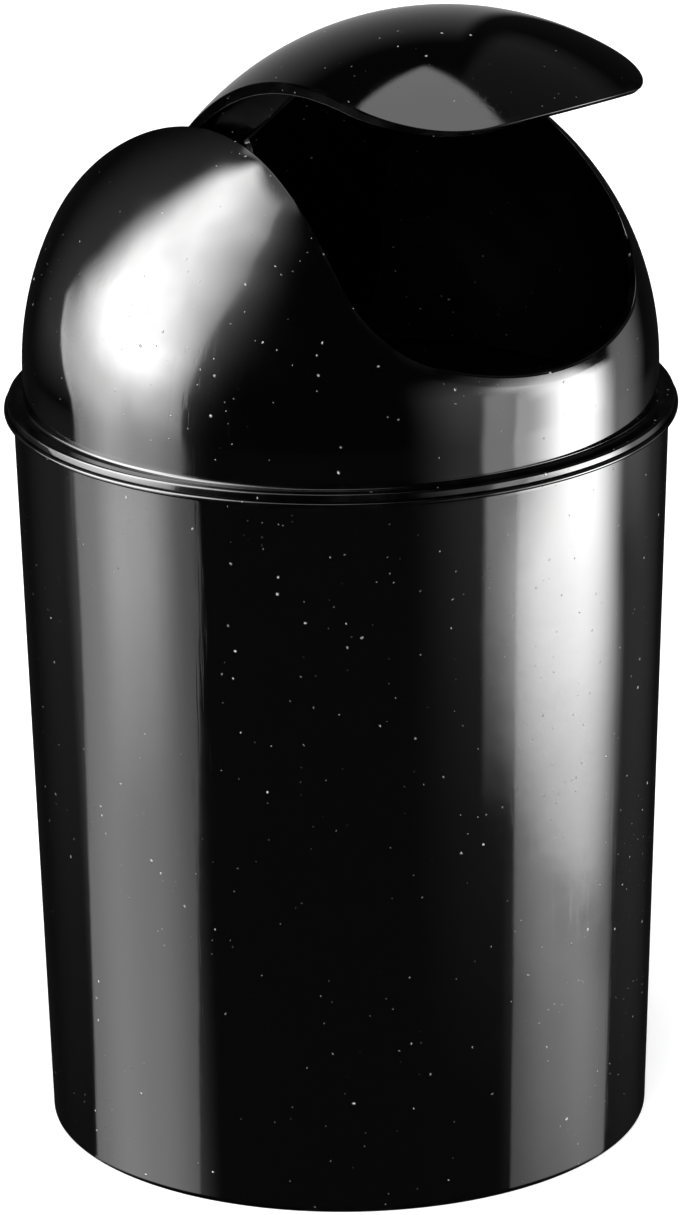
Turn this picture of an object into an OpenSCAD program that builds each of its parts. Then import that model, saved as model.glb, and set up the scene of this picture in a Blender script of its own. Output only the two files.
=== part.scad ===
// Countertop trash can: a tapered round bucket, a domed hood that stands on
// its rim, and a saddle-shaped lid that swings on two pins between the
// hood's ears. Millimetres, +Z up. The origin is the centre of the base.
// The hood is open to the front, -Y, and to the back. The lid swings about
// an axis along X, and is drawn swung open, with its front end raised.

/* [Bucket] */
// Height from the floor to the top of the rim
bucket_h = 170.1; // [150:0.1:190]
// Outer radius of the wall just under the rim
mouth_r = 74.1; // [66:0.1:84]
// How much narrower the wall is at the floor than under the rim
taper_in = 5.3; // [3:0.1:9]
// Thickness of the side wall
bucket_wall = 1.8; // [1.4:0.1:2.4]
// Thickness of the floor
floor_t = 2; // [1.6:0.1:3]
// How far the rim stands out from the wall
rim_over = 2.1; // [1.4:0.1:3]
// Thickness of the rim
rim_t = 1.1; // [0.9:0.1:1.8]
// Radius of the curve between the floor and the wall, inside
floor_fillet = 5; // [3:0.5:9]
// Depth of the hollow under the base
foot_h = 1.2; // [0.8:0.1:2]
// Width of the ring that the bucket stands on
foot_w = 5; // [4:0.5:8]

/* [Hood] */
// How far the dome stands back from the bucket's wall under the rim
dome_in = 2.2; // [2:0.1:3]
// Wall thickness of the dome
hood_wall = 2; // [1.6:0.1:2.4]
// Thickness of the flange that lies on the bucket's rim
flange_t = 1.9; // [1.4:0.1:2.4]
// How far the flange stays back from the edge of the bucket's rim
flange_back = 0.6; // [0.2:0.1:1]
// Height of the straight band between the flange and the dome
band_h = 7.7; // [5:0.1:12]
// Depth of the skirt that reaches down into the bucket
skirt_h = 7; // [5:0.5:10]
// Free space all round between the skirt and the bucket's wall
skirt_gap = 0.5; // [0.4:0.1:0.8]
// Radius of the curve where the flange meets the band
flange_fillet = 0.8; // [0.5:0.1:1.2]

/* [Opening] */
// Lowest point above the centre of the dome, as a share of its radius
opening_low_share = 0.181; // [0.16:0.005:0.22]
// Half the width where it is widest, as a share of the dome's radius
opening_half_share = 0.584; // [0.56:0.002:0.6]
// Radius of the lower corners seen from the front, as the same share
opening_corner_share = 0.264; // [0.22:0.002:0.3]
// Radius of the lower edge seen from the front, as the same share
opening_sill_share = 1.307; // [1.1:0.01:2]
// Radius of the sides seen from the front, as the same share
opening_side_share = 1.168; // [1.1:0.01:1.25]

/* [Lid] */
// How much further the lid stands out than the dome
lid_proud = 1.8; // [1:0.1:2]
// Wall thickness of the lid
lid_wall = 2; // [1.6:0.1:2.2]
// Gap between the end of the closed lid and the opening's lowest point
lid_end_gap = 7.2; // [7:0.1:8]
// Gap between the lid and the opening where both are widest
lid_side_gap = 4.1; // [4:0.1:5]
// Radius of the lid's end edge seen from the front, as a share of the dome's
lid_sill_share = 2.309; // [1.6:0.01:2.8]
// Radius of the lid's sides seen from the front, as the same share
lid_side_share = 1.238; // [1.2:0.01:1.3]

/* [Swing] */
// Height of the swing axis above the dome's centre, as a share of its radius
pivot_share = 0.751; // [0.74:0.001:0.76]
// How far the lid is drawn swung from closed, in degrees
open_angle = 39.8; // [0:0.1:70]
// Radius of each pin
pin_r = 2.5; // [2:0.1:2.6]
// Running gap round a pin in its socket
pin_gap = 0.05; // [0.03:0.01:0.1]
// How far the arm stands in from the lid's widest point
arm_in = 4.9; // [4.9:0.1:6]
// Thickness of the arm
arm_t = 2; // [1.8:0.1:2.4]
// Radius of the rounded end of the arm, round the axis
arm_lobe_r = 6.5; // [6:0.1:7]
// Radius of the hub on the arm
hub_r = 4.5; // [4.2:0.1:5]
// Length of the hub, from the arm's outer face
hub_l = 2; // [1:0.1:3]
// Side play between the hub and the hood's boss
side_play = 0.6; // [0.4:0.1:0.8]
// Radius of the boss inside the hood's ear
boss_r = 5; // [4.6:0.1:5.2]
// Depth of the socket in the boss
socket_d = 6.6; // [5:0.1:6.8]
// Radius of the pin's head, on the inner face of the arm
head_r = 4.2; // [3.8:0.1:4.4]
// Thickness of the pin's head
head_t = 1.6; // [1.2:0.1:2]

/* [Hidden] */
$fn = 128;
base_r = mouth_r - taper_in;
dome_r = mouth_r - dome_in;
far = 2 * dome_r;
slope = taper_in / (bucket_h - rim_t);
slant = sqrt(1 + slope * slope);
rim_r = mouth_r + rim_over;
flange_r = rim_r - flange_back;
dome_z = bucket_h + flange_t + band_h;
pivot_z = dome_z + pivot_share * dome_r;
opening_low_z = dome_z + opening_low_share * dome_r;
opening_half_w = opening_half_share * dome_r;
corner_r = opening_corner_share * dome_r;
lid_r = dome_r + lid_proud;
lid_half_w = opening_half_w - lid_side_gap;
arm_x = lid_half_w - arm_in;
skirt_bottom = bucket_h - skirt_h;
skirt_r = wall_r(skirt_bottom) - bucket_wall - skirt_gap;
hub_end = arm_x + hub_l;
boss_x = hub_end + side_play;
pin_end = boss_x + socket_d - side_play;
tip_round = 0.45;
color_black = [0.03, 0.03, 0.033];

// Outer radius of the bucket's tapered wall at a height
function wall_r(z) = base_r + slope * z;

// A flat ring's outer edge with both corners rounded
module ring_edge(r_in, r_out, low, high, round_r) {
    translate([r_in, low]) square([r_out - round_r - r_in, high - low]);
    translate([r_in, low + round_r])
        square([r_out - r_in, high - low - 2 * round_r]);
    for (z = [low + round_r, high - round_r])
        translate([r_out - round_r, z]) circle(round_r);
}

// The inside of the bucket, with a rounded corner at its floor
module bucket_hollow() {
    corner_z = floor_t + floor_fillet;
    corner_x = wall_r(corner_z) - bucket_wall - floor_fillet * slant;
    touch_x = corner_x + floor_fillet / slant;
    touch_z = corner_z - floor_fillet * slope / slant;
    top_z = bucket_h + 1;
    top_x = wall_r(top_z) - bucket_wall;
    translate([corner_x, corner_z]) circle(floor_fillet);
    translate([0, floor_t]) square([corner_x, floor_fillet]);
    polygon([[0, touch_z], [touch_x, touch_z], [top_x, top_z], [0, top_z]]);
}

module bucket() {
    color(color_black)
        rotate_extrude()
            difference() {
                union() {
                    polygon([
                        [0, 0],
                        [base_r, 0],
                        [wall_r(bucket_h), bucket_h],
                        [0, bucket_h]
                    ]);
                    ring_edge(mouth_r - bucket_wall, rim_r, bucket_h - rim_t, bucket_h, tip_round);
                }
                bucket_hollow();
                square([base_r - foot_w, foot_h]);
            }
}

// Half of the closed dome's section, with its band, flange and skirt
module hood_section() {
    inner_r = dome_r - hood_wall;
    flange_top = bucket_h + flange_t;
    difference() {
        union() {
            intersection() {
                translate([0, dome_z]) circle(dome_r);
                translate([0, dome_z]) square(dome_r);
            }
            translate([0, bucket_h]) square([dome_r, dome_z - bucket_h]);
            translate([0, skirt_bottom]) square([skirt_r, skirt_h]);
            ring_edge(inner_r, flange_r, bucket_h, flange_top, tip_round);
            difference() {
                translate([dome_r - 0.1, flange_top - 0.1])
                    square(flange_fillet + 0.1);
                translate([dome_r + flange_fillet, flange_top + flange_fillet])
                    circle(flange_fillet);
            }
        }
        intersection() {
            translate([0, dome_z]) circle(inner_r);
            translate([0, dome_z]) square(dome_r);
        }
        translate([0, skirt_bottom - 1])
            square([inner_r, dome_z - skirt_bottom + 1]);
    }
}

// A U-shaped outline seen from the front, run from front to back:
// a shallow curved sill, rounded corners and sides that curve inwards
module window(half_w, sill_r, side_r, low_z) {
    sill_z = low_z + sill_r;
    corner_x = half_w - corner_r;
    drop = sqrt(pow(sill_r - corner_r, 2) - corner_x * corner_x);
    corner_z = sill_z - drop;
    reach = 1.02 * sill_r / drop;
    rotate([90, 0, 0])
        linear_extrude(height = 2 * far, center = true) {
            intersection() {
                translate([0, sill_z]) circle(sill_r);
                polygon([
                    [0, sill_z],
                    [reach * corner_x, sill_z - reach * drop],
                    [-reach * corner_x, sill_z - reach * drop]
                ]);
            }
            for (side = [-1, 1])
                translate([side * corner_x, corner_z]) circle(corner_r);
            intersection() {
                translate([half_w - side_r, corner_z]) circle(side_r);
                translate([side_r - half_w, corner_z]) circle(side_r);
                translate([-half_w, corner_z])
                    square([2 * half_w, side_r - corner_r]);
            }
        }
}

// A rod along X between two distances from the middle plane
module rod(r, from_x, to_x, side) {
    translate([side * (from_x + to_x) / 2, 0, pivot_z])
        rotate([0, 90, 0])
            cylinder(r = r, h = to_x - from_x, center = true);
}

// The boss on the inside of an ear, which stops short of the outside
module ear_boss(side) {
    intersection() {
        rod(boss_r, boss_x, dome_r, side);
        translate([0, 0, dome_z]) sphere(dome_r - hood_wall / 2);
    }
}

// The blind socket for a pin, open towards the middle
module socket(side) {
    rod(pin_r + pin_gap, boss_x - 1, boss_x + socket_d, side);
}

module hood() {
    color(color_black)
        difference() {
            union() {
                difference() {
                    rotate_extrude() hood_section();
                    window(
                        opening_half_w,
                        opening_sill_share * dome_r,
                        opening_side_share * dome_r,
                        opening_low_z
                    );
                }
                for (side = [-1, 1]) ear_boss(side);
            }
            for (side = [-1, 1]) socket(side);
        }
}

// Turns the lid and its pins from closed to the drawn position
module swung() {
    translate([0, 0, pivot_z])
        rotate([-open_angle, 0, 0])
            translate([0, 0, -pivot_z]) children();
}

// A flat arm that closes the side of the lid down to the swing axis
module arm(side) {
    intersection() {
        translate([side * (arm_x - arm_t / 2), 0, pivot_z + lid_r / 2])
            cube([arm_t, far, lid_r], center = true);
        translate([0, 0, dome_z]) sphere(lid_r - lid_wall / 2);
    }
    rod(arm_lobe_r, arm_x - arm_t, arm_x, side);
    rod(hub_r, arm_x - arm_t, hub_end, side);
}

module swing_lid() {
    color(color_black)
        swung()
            difference() {
                union() {
                    intersection() {
                        translate([0, 0, dome_z])
                            difference() {
                                sphere(lid_r);
                                sphere(lid_r - lid_wall);
                            }
                        window(
                            lid_half_w,
                            lid_sill_share * dome_r,
                            lid_side_share * dome_r,
                            opening_low_z + lid_end_gap
                        );
                    }
                    for (side = [-1, 1]) arm(side);
                }
                for (side = [-1, 1]) rod(pin_r, arm_x - 2 * arm_t, hub_end + 1, side);
            }
}

// A headed pin, pushed outwards through the arm into the ear's socket
module pivot_pin(side) {
    color(color_black)
        swung() {
            rod(head_r, arm_x - arm_t - head_t, arm_x - arm_t, side);
            rod(pin_r, arm_x - arm_t - head_t / 2, pin_end, side);
        }
}

module left_pivot_pin() pivot_pin(-1);

module right_pivot_pin() pivot_pin(1);

bucket();
hood();
swing_lid();
left_pivot_pin();
right_pivot_pin();
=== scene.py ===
"""A countertop trash can in gloss black plastic: bucket, domed hood and swing lid."""

import math
from collections import namedtuple

import bmesh
import bpy
from mathutils import Matrix, Vector


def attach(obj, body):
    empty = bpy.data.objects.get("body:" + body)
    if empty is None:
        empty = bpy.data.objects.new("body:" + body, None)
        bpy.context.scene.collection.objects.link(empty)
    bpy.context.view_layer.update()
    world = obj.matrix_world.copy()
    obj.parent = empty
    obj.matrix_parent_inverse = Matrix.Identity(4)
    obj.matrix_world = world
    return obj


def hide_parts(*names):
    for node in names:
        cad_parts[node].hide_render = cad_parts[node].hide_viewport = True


# ---------------------------------------------------------------------------
# Sizes, in millimetres. The main ones are those that the solids are made to, and
# the small rounds of the edges are the scene's own.
# ---------------------------------------------------------------------------
MM = 0.001
WHOLE_TURN = 2 * math.pi
MERGE_DISTANCE = 0.0005

# Bucket
BUCKET_HEIGHT = 170.1
MOUTH_RADIUS = 74.1
TAPER_IN = 5.3
BASE_RADIUS = MOUTH_RADIUS - TAPER_IN
BUCKET_WALL = 1.8
FLOOR_THICKNESS = 2.0
RIM_OVER = 2.1
RIM_THICKNESS = 1.1
FLOOR_FILLET = 5.0
FOOT_HEIGHT = 1.2
FOOT_WIDTH = 5.0
GATE_MARK_RADIUS = 3.0
GATE_MARK_HEIGHT = 0.25
RIM_RADIUS = MOUTH_RADIUS + RIM_OVER
TIP_ROUND = 0.45
FOOT_ROUND = 0.4
BASE_ROUND = 0.5
LIP_FILLET = 0.3
MOUTH_ROUND = 0.5

# Hood
DOME_RADIUS = 71.9
HOOD_WALL = 2.0
FLANGE_THICKNESS = 1.9
FLANGE_RADIUS = RIM_RADIUS - 0.6
FLANGE_FILLET = 0.8
FLANGE_DRAFT = 0.25
BAND_HEIGHT = 7.7
SKIRT_HEIGHT = 7.0
SKIRT_GAP = 0.5
SKIRT_ROUND = 0.4
FLANGE_TOP = BUCKET_HEIGHT + FLANGE_THICKNESS
DOME_Z = FLANGE_TOP + BAND_HEIGHT
OPENING_LIP = 0.45

# Lid
LID_RADIUS = DOME_RADIUS + 1.8
LID_WALL = 2.0
LID_LIP = 0.4
ARM_OUTER_X = 33.0
ARM_THICKNESS = 2.0
ARM_LOBE = 6.5
ARM_ROUND = 0.35
HUB_RADIUS = 4.5
HUB_LENGTH = 2.0
HUB_ROOT = 0.5
HUB_ROUND = 0.35
HUB_BORE_ROUND = 0.2
PIVOT_Z = DOME_Z + 54.0
SWUNG_OPEN = math.radians(39.8)

# Pins and the bosses that they turn in
PIN_RADIUS = 2.5
PIN_HEAD_RADIUS = 4.2
PIN_HEAD_THICKNESS = 1.6
PIN_DISH_DEPTH = 0.3
PIN_DISH_FLOOR = 1.8
PIN_DISH_RADIUS = 2.6
PIN_PLAY = 0.05
PIN_HEAD_ROUND = 0.4
PIN_NOSE_ROUND = 0.5
PIN_END = 41.6
BOSS_X = 35.6
BOSS_RADIUS = 5.0
BOSS_LENGTH = 6.0
SOCKET_RADIUS = 2.55
SOCKET_DEPTH = 6.6
SOCKET_ROUND = 0.25
BOSS_ROUND = 0.4

# The U-shaped outlines that cut the opening and the lid, seen from the front.
# Heights are from the centre of the dome.
Outline = namedtuple("Outline", "half_width corner sill side low")
OPENING = Outline(half_width=42.0, corner=19.0, sill=94.0, side=84.0, low=13.0)
LID_OUTLINE = Outline(half_width=37.9, corner=19.0, sill=166.0, side=89.0, low=20.2)

# How finely round forms are made
BUCKET_STEPS = 288
HOOD_STEPS = 384
LID_STEPS = 384
SMALL_STEPS = 48
HOOD_ROWS = 26
LID_ROWS = 40
LOBE_STEPS = 24
ARC_STEPS = 32

# Rings that stay close to a rounded edge, so that its shading ends there, and
# rings that break up the long walls and the wide floor
EDGE_SUPPORT = 2.2
FLANGE_SUPPORT = 74.2
SKIRT_SUPPORT = 1.5
UNDERSIDE_RINGS = (24.0, 48.0)
FLOOR_RINGS = (40.0, 16.0)
OUTER_WALL_RINGS = [1.2, *(8 + 14.5 * step for step in range(11)), 161, 167.6]
INNER_WALL_RINGS = [167.6, *(160 - 15 * step for step in range(10)), 9]

# A piece's materials, by their place in its list
# The inner faces take a rougher black, darker and barely reflecting: painted shade
# inside the can
INNER_SHADED_FINISH = 1
ARM_FINISH = 2


# ---------------------------------------------------------------------------
# Making meshes
# ---------------------------------------------------------------------------
def profile_ring(bm, points, closed=False):
    """The half section of a turned form, its points numbered in the ring layer."""
    ring = bm.verts.layers.int.new("ring")
    verts = []
    for number, (radius, height) in enumerate(points):
        vert = bm.verts.new((radius, 0, height))
        vert[ring] = number
        verts.append(vert)
    ends = verts[1:] + verts[:1] if closed else verts[1:]
    edges = [bm.edges.new(pair) for pair in zip(verts, ends)]
    return verts + edges


def turn(bm, section, steps):
    """Turns a half section all the way round the Z axis into a closed form."""
    bmesh.ops.spin(
        bm,
        geom=section,
        cent=(0, 0, 0),
        axis=(0, 0, 1),
        angle=WHOLE_TURN,
        steps=steps,
        use_merge=True,
    )
    bmesh.ops.remove_doubles(bm, verts=bm.verts[:], dist=MERGE_DISTANCE)
    bmesh.ops.recalc_face_normals(bm, faces=bm.faces[:])


def round_edges(bm, edges, radius, segments=4):
    """Rounds edges, and marks what it makes as an edge that wears."""
    worn = bm.verts.layers.float.get("edge") or bm.verts.layers.float.new("edge")
    made = bmesh.ops.bevel(
        bm,
        geom=edges,
        offset=radius,
        offset_type="OFFSET",
        affect="EDGES",
        segments=segments,
        profile=0.5,
        material=-1,
        clamp_overlap=False,
        loop_slide=True,
    )
    for vert in made["verts"]:
        vert[worn] = 1.0


def round_ring(bm, number, radius, segments=4):
    """Rounds the ring that one point of the half section has made."""
    ring = bm.verts.layers.int["ring"]
    edges = [e for e in bm.edges if all(v[ring] == number for v in e.verts)]
    round_edges(bm, edges, radius, segments)


def inner_side(bm, numbers):
    """Gives the faces between the numbered rings the inner finish, a rougher black
    whose darker tone and weak reflection are painted shade.
    """
    ring = bm.verts.layers.int["ring"]
    for face in bm.faces:
        if all(vert[ring] in numbers for vert in face.verts):
            face.material_index = INNER_SHADED_FINISH


def join(bm, other):
    """Adds another bmesh to this one, and frees it."""
    mesh = bpy.data.meshes.new("joined")
    other.to_mesh(mesh)
    other.free()
    bm.from_mesh(mesh)
    bpy.data.meshes.remove(mesh)


def lay_on_pivot(bm):
    """Lays a form that was turned round Z along the swing axis, to the right."""
    bmesh.ops.rotate(
        bm,
        verts=bm.verts[:],
        cent=(0, 0, 0),
        matrix=Matrix.Rotation(math.pi / 2, 3, "Y"),
    )
    bmesh.ops.translate(bm, vec=(0, 0, PIVOT_Z), verts=bm.verts[:])


def put_on_side(bm, side):
    """Leaves a form on the right, or mirrors it to the left where side is -1."""
    if side < 0:
        bmesh.ops.scale(bm, vec=(-1, 1, 1), verts=bm.verts[:])
    bmesh.ops.recalc_face_normals(bm, faces=bm.faces[:])


def finished(name, bm, body, nodes, materials):
    """Makes a bmesh in millimetres a piece that rides on a body.

    The piece takes the place of the named CAD nodes.
    """
    bmesh.ops.scale(bm, vec=(MM, MM, MM), verts=bm.verts[:])
    mesh = bpy.data.meshes.new(name)
    bm.to_mesh(mesh)
    bm.free()
    mesh.shade_smooth()
    piece = bpy.data.objects.new(name, mesh)
    bpy.context.scene.collection.objects.link(piece)
    for material in materials:
        mesh.materials.append(material)
    level = piece.modifiers.new("even_shading", "WEIGHTED_NORMAL")
    level.weight = 90
    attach(piece, body)
    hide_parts(*nodes)


# ---------------------------------------------------------------------------
# The line where the opening or the lid's outline crosses a round skin
# ---------------------------------------------------------------------------
def within(outline, x, z):
    """Whether a point seen from the front lies inside the outline.

    The outline has a slightly bowed sill at the bottom, two rounded corners,
    and sides that lean inwards along wide arcs.
    """
    sill_z = outline.low + outline.sill
    corner_x = outline.half_width - outline.corner
    drop = math.sqrt((outline.sill - outline.corner) ** 2 - corner_x**2)
    corner_z = sill_z - drop
    if z > corner_z:
        return x < outline.half_width - outline.side + math.sqrt(
            max(outline.side**2 - (z - corner_z) ** 2, 0)
        )
    if x * drop < corner_x * (sill_z - z):
        return math.hypot(x, z - sill_z) < outline.sill
    return math.hypot(x - corner_x, z - corner_z) < outline.corner


def cut_elevation(outline, radius, azimuth):
    """How far up a sphere, in radians, the outline starts at an azimuth."""
    low, high = 0.0, math.radians(89)
    for _halving in range(40):
        middle = (low + high) / 2
        x = radius * math.cos(middle) * abs(math.cos(azimuth))
        if within(outline, x, radius * math.sin(middle)):
            high = middle
        else:
            low = middle
    return high


def drape_rows(bm, rows, outline, start):
    """Lays the numbered rings on their sphere, between a level and the cut.

    rows maps a ring's number to its radius, its share of the way from the
    start to the cut, and how far short of the cut that way ends.
    """
    ring = bm.verts.layers.int["ring"]
    cuts = {}
    for vert in bm.verts:
        if vert[ring] not in rows:
            continue
        radius, share, short = rows[vert[ring]]
        azimuth = math.atan2(vert.co.y, vert.co.x)
        key = (radius, round(azimuth, 6))
        if key not in cuts:
            cuts[key] = cut_elevation(outline, radius, azimuth)
        cut = cuts[key]
        end = cut + math.copysign(short / radius, start - cut)
        up = start + share * (end - start)
        flat = radius * math.cos(up)
        vert.co = (
            flat * math.cos(azimuth),
            flat * math.sin(azimuth),
            DOME_Z + radius * math.sin(up),
        )


def skin_shares(count):
    """Shares of the way over a skin, and how far short of the cut each ends."""
    even = [(step / count, EDGE_SUPPORT) for step in range(count + 1)]
    return even + [(1.0, 0.0)]


# ---------------------------------------------------------------------------
# Bucket
# ---------------------------------------------------------------------------
def bucket_wall_radius(height):
    """The outer radius of the tapered wall at a height."""
    slope = TAPER_IN / (BUCKET_HEIGHT - RIM_THICKNESS)
    return BASE_RADIUS + slope * height


def make_bucket(materials):
    """The tapered pail, with a foot ring under it and a rim round its mouth."""
    lip_low = BUCKET_HEIGHT - RIM_THICKNESS
    # A small round gate mark stands out of the middle of the underside
    gate_mark_low = FOOT_HEIGHT - GATE_MARK_HEIGHT
    points = [
        (0, gate_mark_low),
        (GATE_MARK_RADIUS - 0.4, gate_mark_low),
        (GATE_MARK_RADIUS, FOOT_HEIGHT),
    ]
    points += [(radius, FOOT_HEIGHT) for radius in UNDERSIDE_RINGS]
    foot_corner = len(points)
    points += [
        (BASE_RADIUS - FOOT_WIDTH, FOOT_HEIGHT),
        (BASE_RADIUS - FOOT_WIDTH, 0),
        (BASE_RADIUS, 0),
    ]
    points += [(bucket_wall_radius(height), height) for height in OUTER_WALL_RINGS]
    lip_corner = len(points)
    points += [
        (MOUTH_RADIUS, lip_low),
        (RIM_RADIUS, lip_low),
        (RIM_RADIUS, BUCKET_HEIGHT),
        (bucket_wall_radius(BUCKET_HEIGHT) - BUCKET_WALL, BUCKET_HEIGHT),
    ]
    points += [
        (bucket_wall_radius(height) - BUCKET_WALL, height)
        for height in INNER_WALL_RINGS
    ]
    floor_corner = len(points)
    floor_radius = bucket_wall_radius(FLOOR_THICKNESS) - BUCKET_WALL
    points += [
        (radius, FLOOR_THICKNESS) for radius in (floor_radius, *FLOOR_RINGS, 0)
    ]
    bm = bmesh.new()
    turn(bm, profile_ring(bm, points), BUCKET_STEPS)
    inner_side(bm, range(lip_corner + 4, len(points)))
    inner_side(bm, range(foot_corner + 1))
    round_ring(bm, foot_corner, FOOT_ROUND)
    round_ring(bm, foot_corner + 1, FOOT_ROUND)
    round_ring(bm, foot_corner + 2, BASE_ROUND)
    round_ring(bm, lip_corner, LIP_FILLET)
    round_ring(bm, lip_corner + 1, TIP_ROUND)
    round_ring(bm, lip_corner + 2, TIP_ROUND)
    round_ring(bm, lip_corner + 3, MOUTH_ROUND)
    round_ring(bm, floor_corner, FLOOR_FILLET, 10)
    finished("bucket_shell", bm, "bucket_body", ["bucket"], materials)


# ---------------------------------------------------------------------------
# Hood
# ---------------------------------------------------------------------------
def add_ear_boss(bm, side):
    """The boss inside an ear, with the blind socket for a pin."""
    boss = bmesh.new()
    wall_middle = DOME_RADIUS - HOOD_WALL / 2
    socket_end = BOSS_X + SOCKET_DEPTH
    points = [
        (0, socket_end),
        (SOCKET_RADIUS, socket_end),
        (SOCKET_RADIUS, BOSS_X),
        (BOSS_RADIUS, BOSS_X),
        (BOSS_RADIUS, BOSS_X + BOSS_LENGTH),
        (0, BOSS_X + BOSS_LENGTH),
    ]
    turn(boss, profile_ring(boss, points), SMALL_STEPS)
    # The boss's far end is laid into the middle of the ear's round wall
    ring = boss.verts.layers.int["ring"]
    for vert in boss.verts:
        if vert[ring] in (4, 5):
            up = PIVOT_Z - DOME_Z - vert.co.x
            vert.co.z = math.sqrt(wall_middle**2 - vert.co.y**2 - up**2)
    round_ring(boss, 2, SOCKET_ROUND, 3)
    round_ring(boss, 3, BOSS_ROUND, 3)
    lay_on_pivot(boss)
    put_on_side(boss, side)
    for face in boss.faces:
        face.material_index = INNER_SHADED_FINISH
    join(bm, boss)


def make_hood(materials):
    """The dome with its opening, its flange on the rim and its skirt in the mouth."""
    inner = DOME_RADIUS - HOOD_WALL
    skirt_low = BUCKET_HEIGHT - SKIRT_HEIGHT
    skirt_radius = bucket_wall_radius(skirt_low) - BUCKET_WALL - SKIRT_GAP
    shares = skin_shares(HOOD_ROWS)
    outer_rows = {
        number: (DOME_RADIUS, *share) for number, share in enumerate(reversed(shares))
    }
    # The dome's rings only need places of their own here, for drape_rows lays them
    # on their spheres.
    points = [(DOME_RADIUS, DOME_Z + 5 - number * 0.1) for number in outer_rows]
    points += [(DOME_RADIUS, DOME_Z - 3), (DOME_RADIUS, FLANGE_TOP + 2)]
    fillet = len(points)
    points += [(DOME_RADIUS, FLANGE_TOP), (FLANGE_SUPPORT, FLANGE_TOP)]
    flange_tip = len(points)
    points += [
        (FLANGE_RADIUS - FLANGE_DRAFT, FLANGE_TOP),
        (FLANGE_RADIUS, BUCKET_HEIGHT),
        (FLANGE_SUPPORT, BUCKET_HEIGHT),
        (skirt_radius, BUCKET_HEIGHT),
        (skirt_radius, skirt_low + SKIRT_SUPPORT),
    ]
    skirt_end = len(points)
    points += [
        (skirt_radius, skirt_low),
        (inner, skirt_low),
        (inner, skirt_low + SKIRT_SUPPORT),
        (inner, DOME_Z - 4),
    ]
    first = len(points)
    inner_rows = {
        first + number: (inner, *share) for number, share in enumerate(shares)
    }
    points += [(inner, DOME_Z + 0.1 * number) for number in range(len(shares))]
    last = len(points) - 1
    bm = bmesh.new()
    turn(bm, profile_ring(bm, points, closed=True), HOOD_STEPS)
    drape_rows(bm, {**outer_rows, **inner_rows}, OPENING, 0.0)
    inner_side(bm, range(skirt_end + 1, last + 1))
    round_ring(bm, 0, OPENING_LIP, 5)
    round_ring(bm, last, OPENING_LIP, 5)
    round_ring(bm, fillet, FLANGE_FILLET, 5)
    round_ring(bm, flange_tip, TIP_ROUND)
    round_ring(bm, flange_tip + 1, TIP_ROUND)
    round_ring(bm, skirt_end, SKIRT_ROUND)
    round_ring(bm, skirt_end + 1, SKIRT_ROUND)
    for side in (-1, 1):
        add_ear_boss(bm, side)
    finished("hood_shell", bm, "hood_body", ["hood"], materials)


# ---------------------------------------------------------------------------
# Lid
# ---------------------------------------------------------------------------
def arm_outline(x):
    """The arm's outline, seen along the swing axis, from its lower front end."""
    reach = math.sqrt((LID_RADIUS - LID_WALL / 2) ** 2 - x**2)
    up = PIVOT_Z - DOME_Z
    half = math.sqrt(reach**2 - up**2)
    outline = [(-half, PIVOT_Z), (-half / 2, PIVOT_Z)]
    for step in range(LOBE_STEPS + 1):
        angle = math.pi + math.pi * step / LOBE_STEPS
        outline.append(
            (ARM_LOBE * math.cos(angle), PIVOT_Z + ARM_LOBE * math.sin(angle))
        )
    outline += [(half / 2, PIVOT_Z), (half, PIVOT_Z)]
    widest = math.atan2(up, half)
    for step in range(1, ARC_STEPS):
        angle = widest + (math.pi - 2 * widest) * step / ARC_STEPS
        outline.append((reach * math.cos(angle), DOME_Z + reach * math.sin(angle)))
    return outline


def add_arm(bm, side):
    """A flat arm with its round lobe and hub, at one side of the lid."""
    arm = bmesh.new()
    inner_x = ARM_OUTER_X - ARM_THICKNESS
    outline = arm_outline(ARM_OUTER_X - ARM_THICKNESS / 2)
    face = arm.faces.new([arm.verts.new((inner_x, y, z)) for y, z in outline])
    pushed = bmesh.ops.extrude_face_region(arm, geom=[face])
    moved = [v for v in pushed["geom"] if isinstance(v, bmesh.types.BMVert)]
    bmesh.ops.translate(arm, vec=(ARM_THICKNESS, 0, 0), verts=moved)
    # Only the free edges below the pivot are rounded: the others lie in the lid
    free_edges = [
        edge
        for edge in arm.edges
        if abs(edge.verts[0].co.x - edge.verts[1].co.x) < 1e-4
        and max(vert.co.z for vert in edge.verts) < PIVOT_Z + 0.01
    ]
    round_edges(arm, free_edges, ARM_ROUND, 3)
    hub = bmesh.new()
    hub_root = inner_x + HUB_ROOT
    hub_end = ARM_OUTER_X + HUB_LENGTH
    points = [
        (PIN_RADIUS + PIN_PLAY, hub_root),
        (PIN_RADIUS + PIN_PLAY, hub_end),
        (HUB_RADIUS, hub_end),
        (HUB_RADIUS, hub_root),
    ]
    turn(hub, profile_ring(hub, points, closed=True), SMALL_STEPS)
    round_ring(hub, 1, HUB_BORE_ROUND, 3)
    round_ring(hub, 2, HUB_ROUND, 3)
    lay_on_pivot(hub)
    join(arm, hub)
    put_on_side(arm, side)
    for face in arm.faces:
        face.material_index = ARM_FINISH
    join(bm, arm)


def swing_open(bm):
    """Turns a form from the closed lid's place to the raised one."""
    bmesh.ops.rotate(
        bm,
        verts=bm.verts[:],
        cent=(0, 0, PIVOT_Z),
        matrix=Matrix.Rotation(-SWUNG_OPEN, 3, "X"),
    )


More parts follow.
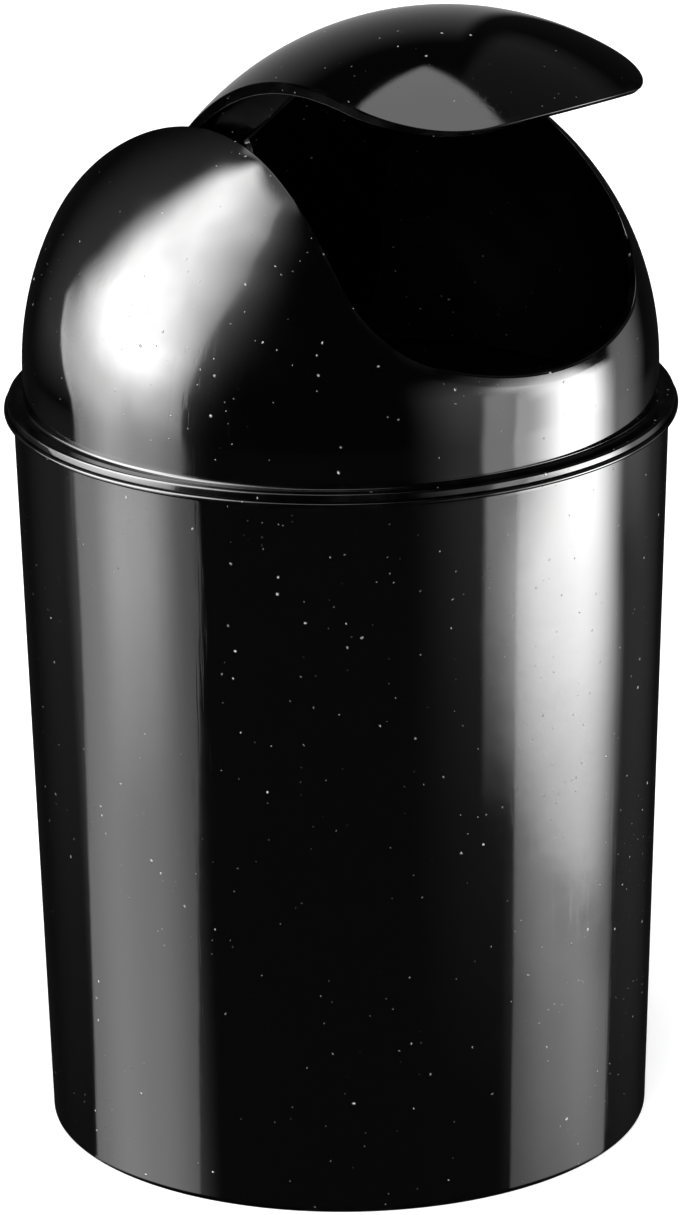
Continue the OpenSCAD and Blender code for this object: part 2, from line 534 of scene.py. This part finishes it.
def make_lid(materials):
    """The saddle-shaped cap with its two arms, raised as the photograph shows it."""
    inner = LID_RADIUS - LID_WALL
    shares = skin_shares(LID_ROWS)
    outer_rows = {
        number: (LID_RADIUS, *share) for number, share in enumerate(shares)
    }
    first = len(shares)
    inner_rows = {
        first + number: (inner, *share) for number, share in enumerate(reversed(shares))
    }
    # As in the hood, these are only places of their own, until drape_rows
    points = [(number, DOME_Z) for number in range(len(shares))]
    points += [(len(shares) - 1 - number, DOME_Z - 5) for number in range(len(shares))]
    bm = bmesh.new()
    turn(bm, profile_ring(bm, points), LID_STEPS)
    drape_rows(bm, {**outer_rows, **inner_rows}, LID_OUTLINE, math.pi / 2)
    bmesh.ops.recalc_face_normals(bm, faces=bm.faces[:])
    inner_side(bm, inner_rows)
    round_ring(bm, first - 1, LID_LIP, 5)
    round_ring(bm, first, LID_LIP, 5)
    for side in (-1, 1):
        add_arm(bm, side)
    swing_open(bm)
    finished("swing_lid_shell", bm, "lid_body", ["swing_lid"], materials)


# ---------------------------------------------------------------------------
# Pins
# ---------------------------------------------------------------------------
def make_pin(name, side, materials):
    """A headed pin with a dished head and a rounded nose."""
    inner_x = ARM_OUTER_X - ARM_THICKNESS
    head_x = inner_x - PIN_HEAD_THICKNESS
    points = [
        (0, head_x + PIN_DISH_DEPTH),
        (PIN_DISH_FLOOR, head_x + PIN_DISH_DEPTH),
        (PIN_DISH_RADIUS, head_x),
        (PIN_HEAD_RADIUS, head_x),
        (PIN_HEAD_RADIUS, inner_x),
        (PIN_RADIUS, inner_x),
        (PIN_RADIUS, PIN_END - 1),
        (PIN_RADIUS, PIN_END),
        (0, PIN_END),
    ]
    bm = bmesh.new()
    turn(bm, profile_ring(bm, points), SMALL_STEPS)
    round_ring(bm, 3, PIN_HEAD_ROUND)
    round_ring(bm, 7, PIN_NOSE_ROUND)
    lay_on_pivot(bm)
    put_on_side(bm, side)
    swing_open(bm)
    finished(name + "_turned", bm, "lid_body", [name], materials)


# ---------------------------------------------------------------------------
# Plastic
# ---------------------------------------------------------------------------
PLASTIC_IOR = 1.5
RUBBED_BLACK = (0.035, 0.035, 0.037)
DUST_WHITE = (0.75, 0.75, 0.73)

# In metres: how far a speck's outline wanders, how deep a wiping mark is and how
# high a speck stands
RAGGED_BY = 0.0006
MARK_DEPTH = 0.00002
SPECK_HEIGHT = 0.0002

# What wiping marks, rubbed edges and dust add to the roughness
MARK_ROUGHNESS = 0.05
RUBBED_ROUGHNESS = 0.2
DUST_ROUGHNESS = 0.6


def new_group(name, inputs, outputs):
    """An empty shader group with named number inputs, a place and outputs."""
    group = bpy.data.node_groups.new(name, "ShaderNodeTree")
    group.interface.new_socket("Place", in_out="INPUT", socket_type="NodeSocketVector")
    for label, value in inputs.items():
        socket = group.interface.new_socket(
            label, in_out="INPUT", socket_type="NodeSocketFloat"
        )
        socket.default_value = value
    for label in outputs:
        group.interface.new_socket(
            label, in_out="OUTPUT", socket_type="NodeSocketFloat"
        )
    return (
        group,
        group.nodes.new("NodeGroupInput"),
        group.nodes.new("NodeGroupOutput"),
    )


def node(tree, kind, inputs=None, **settings):
    """Adds a node, sets it up, and links or fills its inputs."""
    made = tree.nodes.new(kind)
    for key, value in settings.items():
        setattr(made, key, value)
    for key, value in (inputs or {}).items():
        if isinstance(value, bpy.types.NodeSocket):
            tree.links.new(value, made.inputs[key])
        else:
            made.inputs[key].default_value = value
    return made


def maths(tree, operation, first, second=0.0, clamp=False):
    """The result of one sum on two sockets or numbers."""
    return node(
        tree,
        "ShaderNodeMath",
        {0: first, 1: second},
        operation=operation,
        use_clamp=clamp,
    ).outputs[0]


def remap(tree, value, low, high, new_low=0.0, new_high=1.0):
    """Stretches the values between low and high, and holds those beyond them."""
    return node(
        tree,
        "ShaderNodeMapRange",
        {
            "Value": value,
            "From Min": low,
            "From Max": high,
            "To Min": new_low,
            "To Max": new_high,
        },
    ).outputs["Result"]


def noise(tree, place, scale, detail, **more):
    """A noise over a place, whose Fac and Color outputs are read."""
    inputs = {"Vector": place, "Scale": scale, "Detail": detail, **more}
    return node(tree, "ShaderNodeTexNoise", inputs)


def dust_specks_group():
    """White specks of dust that have settled on the gloss.

    There is at most one speck to a cell. Share says how many cells hold one, and
    Size is that of the largest speck, as a share of its cell.
    """
    group, given, out = new_group(
        "dust_specks", {"Cells": 125.0, "Size": 0.09, "Share": 0.6}, ["Mask"]
    )
    # Shifting the place a little gives each speck a ragged outline
    ragged = noise(group, given.outputs["Place"], 2600.0, 1.0)
    place = node(
        group,
        "ShaderNodeVectorMath",
        {
            0: ragged.outputs["Color"],
            1: (RAGGED_BY,) * 3,
            2: given.outputs["Place"],
        },
        operation="MULTIPLY_ADD",
    )
    cells = node(
        group,
        "ShaderNodeTexVoronoi",
        {"Vector": place.outputs[0], "Scale": given.outputs["Cells"]},
    )
    chance = node(
        group, "ShaderNodeSeparateColor", {"Color": cells.outputs["Color"]}
    )
    drifts = noise(group, given.outputs["Place"], 16.0, 1.0)
    share = maths(
        group,
        "MULTIPLY",
        given.outputs["Share"],
        remap(group, drifts.outputs["Fac"], 0.4, 0.6, 0.25, 1.0),
    )
    kept = maths(group, "LESS_THAN", chance.outputs["Red"], share)
    radius = maths(
        group,
        "MULTIPLY",
        given.outputs["Size"],
        remap(group, chance.outputs["Green"], 0, 1, 0.35, 1.0),
    )
    near = maths(
        group,
        "DIVIDE",
        maths(group, "SUBTRACT", radius, cells.outputs["Distance"]),
        maths(group, "MULTIPLY", radius, 0.5),
        clamp=True,
    )
    mask = maths(group, "MULTIPLY", near, kept)
    faint = remap(group, chance.outputs["Blue"], 0, 1, 0.25, 1.0)
    group.links.new(maths(group, "MULTIPLY", mask, faint), out.inputs["Mask"])
    return group


def wiping_marks_group():
    """Hairline marks left by wiping, mostly upright, in loose patches."""
    group, given, out = new_group(
        "wiping_marks", {"Fineness": 900.0, "Stretch": 0.03}, ["Mask"]
    )
    squeeze = node(
        group,
        "ShaderNodeCombineXYZ",
        {"X": 1.0, "Y": 1.0, "Z": given.outputs["Stretch"]},
    )
    place = node(
        group,
        "ShaderNodeVectorMath",
        {0: given.outputs["Place"], 1: squeeze.outputs[0]},
        operation="MULTIPLY",
    )
    hairs = noise(
        group, place.outputs[0], given.outputs["Fineness"], 3.0, Roughness=0.6
    )
    patches = noise(group, given.outputs["Place"], 22.0, 2.0)
    fine = remap(group, hairs.outputs["Fac"], 0.56, 0.72)
    loose = remap(group, patches.outputs["Fac"], 0.42, 0.66)
    group.links.new(maths(group, "MULTIPLY", fine, loose), out.inputs["Mask"])
    return group


def moulded_skin_group():
    """The slow unevenness of a moulded skin, and a haze that comes and goes."""
    group, given, out = new_group(
        "moulded_skin", {"Waves": 14.0, "Ripples": 90.0}, ["Height", "Haze"]
    )
    waves = noise(group, given.outputs["Place"], given.outputs["Waves"], 1.0)
    ripples = noise(group, given.outputs["Place"], given.outputs["Ripples"], 2.0)
    height = maths(
        group,
        "ADD",
        waves.outputs["Fac"],
        maths(group, "MULTIPLY", ripples.outputs["Fac"], 0.06),
    )
    group.links.new(height, out.inputs["Height"])
    haze = maths(group, "MULTIPLY", waves.outputs["Fac"], ripples.outputs["Fac"])
    group.links.new(remap(group, haze, 0.15, 0.4), out.inputs["Haze"])
    return group


def mixed_colour(tree, factor, first, second):
    """Mixes two colours, each given as a colour or as a socket."""
    mix = node(tree, "ShaderNodeMix", data_type="RGBA")
    tree.links.new(factor, mix.inputs["Factor"])
    # The colour sockets of a Mix node are its seventh and eighth inputs
    for place, colour in ((6, first), (7, second)):
        if isinstance(colour, bpy.types.NodeSocket):
            tree.links.new(colour, mix.inputs[place])
        else:
            mix.inputs[place].default_value = (*colour, 1)
    return mix.outputs[2]


# black is the plastic's own grey level, gloss and gloss + haze the ends of its
# roughness, waviness the height of its slow waves in metres, dust and cells the
# share and the number per metre of its specks, wear how far its edges are
# rubbed, and reflect the level of its reflections.
Finish = namedtuple("Finish", "black gloss haze waviness dust cells wear reflect")


def black_plastic(name, effects, finish):
    """Black moulded plastic with its haze, wiping marks, dust and worn edges."""
    material = bpy.data.materials.new(name)
    material.use_nodes = True
    tree = material.node_tree
    shader = tree.nodes["Principled BSDF"]
    shader.inputs["IOR"].default_value = PLASTIC_IOR
    shader.inputs["Specular IOR Level"].default_value = finish.reflect
    place = node(tree, "ShaderNodeTexCoord").outputs["Object"]

    def placed(kind, **values):
        made = node(tree, "ShaderNodeGroup", node_tree=effects[kind])
        tree.links.new(place, made.inputs["Place"])
        for label, value in values.items():
            made.inputs[label].default_value = value
        return made

    # Dust in three sizes: specks, sparser lint, and a powder of faint fine ones
    specks = placed("dust_specks", Cells=finish.cells, Share=finish.dust)
    lint = placed("dust_specks", Cells=118, Size=0.06, Share=finish.dust)
    powder = placed("dust_specks", Cells=520, Size=0.13, Share=finish.dust * 0.45)
    dust = maths(
        tree,
        "MAXIMUM",
        maths(tree, "MAXIMUM", specks.outputs["Mask"], lint.outputs["Mask"]),
        maths(tree, "MULTIPLY", powder.outputs["Mask"], 0.5),
    )
    marks = placed("wiping_marks")
    skin = placed("moulded_skin")
    edge = node(tree, "ShaderNodeAttribute", attribute_name="edge").outputs["Fac"]
    rub = noise(tree, place, 160.0, 4.0)
    patches = remap(tree, rub.outputs["Fac"], 0.45, 0.7, 0, finish.wear)
    rubbed = maths(tree, "MULTIPLY", edge, patches)

    plastic = mixed_colour(tree, rubbed, (finish.black,) * 3, RUBBED_BLACK)
    dusty = mixed_colour(tree, dust, plastic, DUST_WHITE)
    tree.links.new(dusty, shader.inputs["Base Color"])

    rough = maths(
        tree,
        "ADD",
        remap(
            tree, skin.outputs["Haze"], 0, 1, finish.gloss, finish.gloss + finish.haze
        ),
        maths(tree, "MULTIPLY", marks.outputs["Mask"], MARK_ROUGHNESS),
    )
    worn = maths(tree, "MULTIPLY", rubbed, RUBBED_ROUGHNESS)
    rough = maths(tree, "ADD", rough, worn)
    dull = maths(tree, "MULTIPLY", dust, DUST_ROUGHNESS)
    tree.links.new(
        maths(tree, "ADD", rough, dull, clamp=True), shader.inputs["Roughness"]
    )

    waves = node(
        tree,
        "ShaderNodeBump",
        {
            "Strength": 1.0,
            "Distance": finish.waviness,
            "Height": skin.outputs["Height"],
        },
    )
    scratched = node(
        tree,
        "ShaderNodeBump",
        {
            "Strength": 0.25,
            "Distance": MARK_DEPTH,
            "Height": marks.outputs["Mask"],
            "Normal": waves.outputs["Normal"],
        },
        invert=True,
    )
    raised = node(
        tree,
        "ShaderNodeBump",
        {
            "Strength": 0.6,
            "Distance": SPECK_HEIGHT,
            "Height": dust,
            "Normal": scratched.outputs["Normal"],
        },
    )
    tree.links.new(raised.outputs["Normal"], shader.inputs["Normal"])
    return material


def make_plastics():
    """Every finish of the can, by name, all of the same black plastic."""
    effects = {
        "dust_specks": dust_specks_group(),
        "wiping_marks": wiping_marks_group(),
        "moulded_skin": moulded_skin_group(),
    }
    gloss = Finish(
        black=0.0006,
        gloss=0.04,
        haze=0.04,
        waviness=0.0002,
        dust=0.9,
        cells=215,
        wear=0.12,
        reflect=0.5,
    )
    finishes = {
        "gloss_black_bucket": gloss,
        "gloss_black_hood": gloss._replace(gloss=0.06, haze=0.06),
        "gloss_black_lid": gloss._replace(waviness=0.0001, dust=0.6),
        "satin_black_pin": gloss._replace(gloss=0.22, haze=0.1, dust=0.3, wear=0.5),
        "satin_black_arm": gloss._replace(gloss=0.3, haze=0.1, dust=0.3),
        # The inside is rougher, and its darker black and weak reflection are painted
        # shade
        "unpolished_black_inside_painted_shade": gloss._replace(
            black=0.0004, gloss=0.35, haze=0.15, reflect=0.02
        ),
    }
    return {
        name: black_plastic(name, effects, finish) for name, finish in finishes.items()
    }


# ---------------------------------------------------------------------------
# Studio: a pale floor, soft boxes and the camera
# ---------------------------------------------------------------------------
# The camera stands to the left of the front and looks down. Its distance and its
# target are measured in rims: one is about the rim's radius, in metres, and is
# VIEW_RIM_PIXELS wide in the photograph.
VIEW_AZIMUTH = math.radians(42.68)
VIEW_DOWN = math.radians(19.0836)
VIEW_ROLL = math.radians(-0.7005)
VIEW_RIM = 0.076
VIEW_RIM_PIXELS = 333.1
VIEW_RIMS_AWAY = 23
VIEW_TARGET = Vector((-0.00919, 0, 1.58079)) * VIEW_RIM
PICTURE_HEIGHT = 1215
SENSOR = 36.0

# The light cards hang on a wide sphere round the middle of the can, in metres
CARD_DISTANCE = 4.0
CARD_CENTRE = Vector((0, 0, 0.13))
CARD_CELLS = 64

# How much the box over the back dims on its way to the back
OVERHEAD_DIMMING = 0.45

# The little light that the room itself gives to everything but the camera
ROOM_LIGHT = 0.012

FLOOR_HALF_SIZE = 8
FLOOR_WHITE = (0.98, 0.98, 0.98, 1)
FLOOR_GLOW = 0.45
WHITE = (1, 1, 1, 1)


def turned_to_view(direction):
    """From the camera's own right, away and up to the object's X, Y and Z."""
    x, y, z = direction
    return Vector(
        (
            x * math.cos(VIEW_AZIMUTH) + y * math.sin(VIEW_AZIMUTH),
            -x * math.sin(VIEW_AZIMUTH) + y * math.cos(VIEW_AZIMUTH),
            z,
        )
    )


def make_camera():
    """The long-lens camera that sees the can from the photograph's place."""
    forward = turned_to_view((0, math.cos(VIEW_DOWN), -math.sin(VIEW_DOWN)))
    right = turned_to_view((1, 0, 0))
    up = turned_to_view((0, math.sin(VIEW_DOWN), math.cos(VIEW_DOWN)))
    level_right = right * math.cos(VIEW_ROLL) + up * math.sin(VIEW_ROLL)
    level_up = up * math.cos(VIEW_ROLL) - right * math.sin(VIEW_ROLL)
    data = bpy.data.cameras.new("camera")
    data.sensor_width = SENSOR
    data.lens = VIEW_RIM_PIXELS * VIEW_RIMS_AWAY * SENSOR / PICTURE_HEIGHT
    data.clip_start = 0.1
    data.clip_end = 100
    camera = bpy.data.objects.new("camera", data)
    turn_matrix = Matrix((level_right, level_up, -forward)).transposed()
    place = turned_to_view(VIEW_TARGET) - forward * (VIEW_RIMS_AWAY * VIEW_RIM)
    camera.matrix_world = Matrix.Translation(place) @ turn_matrix.to_4x4()
    bpy.context.scene.collection.objects.link(camera)
    bpy.context.scene.camera = camera


def soft_share(margin):
    """Eases a margin, as a share of the soft edge's width, from 0 to 1."""
    share = min(max(margin, 0), 1)
    return share * share * (3 - 2 * share)


def steep_share(margin):
    """Falls away fast at first and then slowly, as light does on a wall."""
    return min(max(margin, 0), 1) ** 3


def card_grid():
    """A fine square grid from 0 to 1, and the layer that holds its glow."""
    bm = bmesh.new()
    bmesh.ops.create_grid(bm, x_segments=CARD_CELLS, y_segments=CARD_CELLS, size=0.5)
    bmesh.ops.translate(bm, vec=(0.5, 0.5, 0), verts=bm.verts[:])
    return bm, bm.verts.layers.float.new("glow")


Row = namedtuple(
    "Row", "up left_dark left_full right_full right_dark level cut", defaults=(360,)
)


def row_at(rows, up):
    """The card's edges and level at an elevation, between two of its rows."""
    for low, high in zip(rows, rows[1:]):
        if up <= high.up:
            share = (up - low.up) / (high.up - low.up)
            return Row(*(a + share * (b - a) for a, b in zip(low, high)))
    return rows[-1]


def shaped_card(name, rows, patchy=0.0, lights=None, fall=soft_share):
    """A glowing card on a wide sphere round the object, given row by row.

    Each row has an elevation and four azimuths, in degrees and from the
    camera's side with right positive, how strongly the card glows there, and
    where the card is cut off if that is before its right side is dark. fall is
    how the right side fades.
    """
    bm, glow = card_grid()
    for vert in bm.verts:
        across, along = vert.co.x, vert.co.y
        up = rows[0].up + along * (rows[-1].up - rows[0].up)
        row = row_at(rows, up)
        end = min(row.right_dark, row.cut)
        azimuth = row.left_dark + across * (end - row.left_dark)
        vert[glow] = (
            row.level
            * soft_share((azimuth - row.left_dark) / (row.left_full - row.left_dark))
            * fall((row.right_dark - azimuth) / (row.right_dark - row.right_full))
        )
        a, e = math.radians(azimuth), math.radians(up)
        direction = turned_to_view(
            (math.sin(a) * math.cos(e), -math.cos(a) * math.cos(e), math.sin(e))
        )
        vert.co = CARD_CENTRE + direction * CARD_DISTANCE
    hang_card(name, bm, patchy, lights)


def soft_card(name, left, right, bottom, top, level, fades, lights=None):
    """A plain card, whose soft margins are given left, right, bottom and top."""
    edges = (left, left + fades[0], right - fades[1], right)
    rows = [
        Row(bottom, *edges, 0),
        Row(bottom + fades[2], *edges, level),
        Row(top - fades[3], *edges, level),
        Row(top, *edges, 0),
    ]
    shaped_card(name, rows, lights=lights)


def overhead_card(name, corners, level, fade):
    """A flat glowing card over the object, its corners given at unit height.

    The corners are to the camera's right and away from it: back, right,
    front and left.
    """
    back, right, front, left = (Vector(corner) for corner in corners)
    bm, glow = card_grid()
    for vert in bm.verts:
        s, t = vert.co.x, vert.co.y
        x, y = back.lerp(right, s).lerp(left.lerp(front, s), t)
        vert[glow] = (
            soft_share(s / fade)
            * soft_share((1 - s) / fade)
            * soft_share(t / fade)
            * soft_share((1 - t) / fade)
            * (1 - OVERHEAD_DIMMING * max(y, 0))
            * level
        )
        vert.co = CARD_CENTRE + turned_to_view((x, y, 1)) * CARD_DISTANCE
    hang_card(name, bm)


def hang_card(name, bm, patchy=0.0, lights=None):
    """Finishes a card: it shows in the gloss, but not to the camera.

    lights is a collection of the only pieces that the card shines on.
    """
    mesh = bpy.data.meshes.new(name)
    bm.to_mesh(mesh)
    bm.free()
    card = bpy.data.objects.new(name, mesh)
    bpy.context.scene.collection.objects.link(card)
    material = bpy.data.materials.new(name)
    material.use_nodes = True
    tree = material.node_tree
    tree.nodes.remove(tree.nodes["Principled BSDF"])
    strength = node(tree, "ShaderNodeAttribute", attribute_name="glow").outputs["Fac"]
    place = node(tree, "ShaderNodeTexCoord").outputs["Object"]
    folds = noise(tree, place, 1.1, 2.0)
    uneven = remap(tree, folds.outputs["Fac"], 0.3, 0.7, 1 - patchy, 1 + patchy)
    shine = maths(tree, "MULTIPLY", strength, uneven)
    light = node(tree, "ShaderNodeEmission", {"Strength": shine})
    both = node(
        tree,
        "ShaderNodeAddShader",
        {0: light.outputs[0], 1: node(tree, "ShaderNodeBsdfTransparent").outputs[0]},
    )
    tree.links.new(both.outputs[0], tree.nodes["Material Output"].inputs["Surface"])
    mesh.materials.append(material)
    card.visible_camera = False
    card.visible_diffuse = False
    card.visible_shadow = False
    if lights:
        card.light_linking.receiver_collection = lights


def make_floor():
    """A pale floor that shines a little, so that it meets the white background."""
    bm = bmesh.new()
    bmesh.ops.create_grid(bm, x_segments=1, y_segments=1, size=FLOOR_HALF_SIZE)
    mesh = bpy.data.meshes.new("floor")
    bm.to_mesh(mesh)
    bm.free()
    floor = bpy.data.objects.new("floor", mesh)
    bpy.context.scene.collection.objects.link(floor)
    material = bpy.data.materials.new("pale_floor")
    material.use_nodes = True
    shader = material.node_tree.nodes["Principled BSDF"]
    shader.inputs["Base Color"].default_value = FLOOR_WHITE
    shader.inputs["Roughness"].default_value = 0.9
    shader.inputs["Specular IOR Level"].default_value = 0.0
    shader.inputs["Emission Color"].default_value = WHITE
    shader.inputs["Emission Strength"].default_value = FLOOR_GLOW
    mesh.materials.append(material)
    floor.visible_glossy = False
    floor.visible_shadow = False


def lit_pieces(name, *pieces):
    """A collection of pieces, for cards that shine on these alone."""
    collection = bpy.data.collections.new(name)
    for piece in pieces:
        collection.objects.link(bpy.data.objects[piece])
    return collection


def hang_left_box(body):
    """The tall box at the left, with its soft edges. It doesn't light the lid."""
    shaped_card(
        "left_box",
        [
            Row(-19.5, -105, -91, -78, -50, 0, -59),
            Row(-18, -105, -91, -78, -50, 3.4, -58.8),
            Row(-13, -109, -88, -75, -39, 7, -58.3),
            Row(-9, -113, -85, -73, -46, 9.5, -57.8),
            Row(-3, -117, -82, -76, -46, 15, -57),
            Row(3, -121, -82, -74, -47, 22.5, -54.6),
            Row(10, -123, -89, -73, -43, 24.8, -52.5),
            Row(17, -118, -93, -74, -39, 24, -51),
            Row(25, -116, -91, -79, -33, 22.3, -48.4),
            Row(40, -114, -89, -85, -26, 20, -43),
            Row(47, -114, -92, -88, -25, 20, -44),
            Row(57, -116, -98, -92, -20, 20, -44),
            Row(66, -112, -99, -95, -24, 16, -50),
            Row(70, -112, -99, -95, -26, 0, -54),
        ],
        0.12,
        body,
    )
    shaped_card(
        "left_box_edge",
        [
            Row(-20, -111.5, -110, -106, -80, 0),
            Row(-17, -111.8, -110.3, -106, -80, 1.5),
            Row(-13, -112.5, -111, -106, -80, 3),
            Row(-8, -117.5, -116, -108, -84, 4),
            Row(-3, -121.5, -120, -112, -88, 4),
            Row(3, -124.5, -122.5, -116, -92, 2.5),
            Row(9, -122, -119, -112, -92, 0),
        ],
        lights=body,
    )
    shaped_card(
        "left_box_tail",
        [
            Row(-22, -59.4, -59, -59, -44, 0),
            Row(-16, -59, -58.6, -58.6, -41, 0.3),
            Row(-3, -57.4, -57, -57, -36, 0.8),
            Row(10, -52.9, -52.5, -52.5, -27, 1.6),
            Row(25, -48.8, -48.4, -48.4, -17, 1.9),
            Row(40, -43.4, -43, -43, -14, 2.0),
            Row(47, -44.4, -44, -44, -16, 2.0),
            Row(57, -44.4, -44, -44, -14, 2.2),
            Row(66, -50.4, -50, -50, -16, 2.4),
            Row(72, -56.4, -56, -56, -24, 0),
        ],
        lights=body,
        fall=steep_share,
    )
    soft_card("left_box_top", -122, -24, 66, 82, 1.3, (15, 15, 4, 6), body)
    # The box's dimmer foot, its soft middle and the bright patch on it
    shaped_card(
        "left_box_low",
        [
            Row(-29, -122, -120.5, -62.5, -61.5, 0),
            Row(-28, -120, -118.5, -61.5, -60.5, 1.3),
            Row(-24.6, -114, -112.5, -57, -56, 1.3),
            Row(-21, -109, -107.5, -51.5, -50.5, 1.3),
            Row(-18, -109, -107.5, -57.5, -56.5, 1.3),
            Row(-13, -109, -107.5, -57.5, -56.5, 0),
        ],
        lights=body,
    )
    soft_card("left_box_low_glow", -118, -50, -29, -18, 1.9, (28, 26, 1, 2), body)
    soft_card("left_box_spot", -99, -58, -23.3, -18, 3.2, (16, 16, 2.5, 2), body)
    soft_card("left_halo", -150, -104, -15, 65, 0.35, (40, 12, 10, 5), body)
    soft_card("left_side_glow", -152, -108, -28, -15, 0.12, (42, 3, 8, 3), body)


def hang_right_box(body):
    """The low box at the right, its stepped edge, and the soft light beside it.

    The last card is the faint light between the two boxes.
    """
    shaped_card(
        "right_box",
        [
            Row(-24.15, 64, 90, 92, 116, 0),
            Row(-23.75, 56, 88, 92, 119, 4.5),
            Row(-23, 50, 88, 91, 122, 7.5),
            Row(-21, 50, 87, 91, 123, 15.5),
            Row(-20, 64, 89, 93, 120, 18),
            Row(-15, 69, 90, 94, 117, 21.5),
            Row(-7, 69, 89, 92, 115, 23),
            Row(-3, 62, 82, 88, 96, 14),
            Row(0, 46, 60, 72, 82, 5),
            Row(3, 44, 60, 66, 76, 0),
        ],
    )
    soft_card("right_box_step", 63.4, 102, -25.5, -2, 3.5, (1.2, 36, 4, 3))
    soft_card("right_box_edge", 49.5, 86, -24, 0, 3.2, (3, 16, 3, 2))
    shaped_card(
        "right_box_halo",
        [
            Row(-27, 20, 50, 62, 64, 0),
            Row(-24, 20, 50, 60, 66, 0.1),
            Row(-21.5, 22, 50, 60, 68, 0.3),
            Row(-19, 22, 48, 58, 68, 0.5),
            Row(-10, 22, 46, 58, 68, 0.8),
            Row(0, 20, 46, 58, 68, 1.1),
            Row(8, 18, 40, 58, 68, 0),
        ],
    )
    soft_card("right_box_low", 64.2, 118, -29, -22, 1.1, (1, 1.5, 1, 3))
    soft_card("right_box_low_glow", 58, 120, -29, -22, 2.0, (24, 26, 4, 3))
    soft_card("right_side_glow", 117, 160, -28, -15, 0.2, (2, 40, 8, 3))
    soft_card("right_halo", 108, 142, -20, 0, 1.2, (5, 28, 3, 4))
    soft_card("front_glow", -60, 64, -30, -15, 0.035, (1, 1, 1, 3), body)


def hang_lid_lights(lid):
    """The dim light on the lid's arm, and the one from behind on its far slope."""
    soft_card("arm_glow", -130, -60, -45, -2, 0.07, (10, 10, 10, 8), lid)
    shaped_card(
        "back_glow",
        [
            Row(up, 173.5, 176, 208, 222, level)
            for up, level in (
                (-16, 0),
                (-10, 0.4),
                (0, 0.36),
                (12, 0.31),
                (22, 0.23),
                (30, 0.16),
                (38, 0.05),
                (43, 0),
            )
        ],
        lights=lid,
    )


def hang_upper_lights():
    """A dim glow high at the right, and the square box over the back."""
    soft_card("upper_right_glow", 95, 172, 25, 74, 0.09, (6, 6, 12, 5))
    overhead_card(
        "overhead_box",
        ((-0.06, 0.70), (0.32, 0.08), (-0.05, -0.25), (-0.52, 0.27)),
        3.1,
        0.09,
    )


def light_floor():
    """A wide soft sun for the floor. The gloss doesn't show it."""
    light = bpy.data.lights.new("floor_light", "SUN")
    light.energy = 3.3
    light.angle = math.radians(50)
    sun = bpy.data.objects.new("floor_light", light)
    sun.visible_glossy = False
    sun.rotation_euler = (math.radians(12), math.radians(-14), 0)
    bpy.context.scene.collection.objects.link(sun)


def make_background():
    """The camera sees a white room, and the can stands in a nearly dark one."""
    world = bpy.data.worlds.new("studio")
    bpy.context.scene.world = world
    world.use_nodes = True
    tree = world.node_tree
    seen = node(tree, "ShaderNodeLightPath").outputs["Is Camera Ray"]
    strength = remap(tree, seen, 0, 1, ROOM_LIGHT, 1.0)
    background = tree.nodes["Background"]
    background.inputs["Color"].default_value = WHITE
    tree.links.new(strength, background.inputs["Strength"])


def make_studio():
    """The floor, the light cards, the sun, the background and the camera."""
    make_floor()
    body = lit_pieces("bucket_and_hood", "bucket_shell", "hood_shell")
    lid = lit_pieces("lid_only", "swing_lid_shell")
    hang_left_box(body)
    hang_right_box(body)
    hang_lid_lights(lid)
    hang_upper_lights()
    light_floor()
    make_background()
    bpy.context.scene.view_settings.view_transform = "Standard"
    make_camera()


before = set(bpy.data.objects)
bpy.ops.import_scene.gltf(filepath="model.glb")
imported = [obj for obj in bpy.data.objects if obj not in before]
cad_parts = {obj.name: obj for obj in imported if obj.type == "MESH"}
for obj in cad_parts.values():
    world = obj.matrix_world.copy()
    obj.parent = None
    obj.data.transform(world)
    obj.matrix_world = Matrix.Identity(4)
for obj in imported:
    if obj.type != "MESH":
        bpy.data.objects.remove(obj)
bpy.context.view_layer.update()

plastics = make_plastics()
inside = plastics["unpolished_black_inside_painted_shade"]
make_bucket([plastics["gloss_black_bucket"], inside])
make_hood([plastics["gloss_black_hood"], inside])
make_lid([plastics["gloss_black_lid"], inside, plastics["satin_black_arm"]])
make_pin("left_pivot_pin", -1, [plastics["satin_black_pin"]])
make_pin("right_pivot_pin", 1, [plastics["satin_black_pin"]])
make_studio()
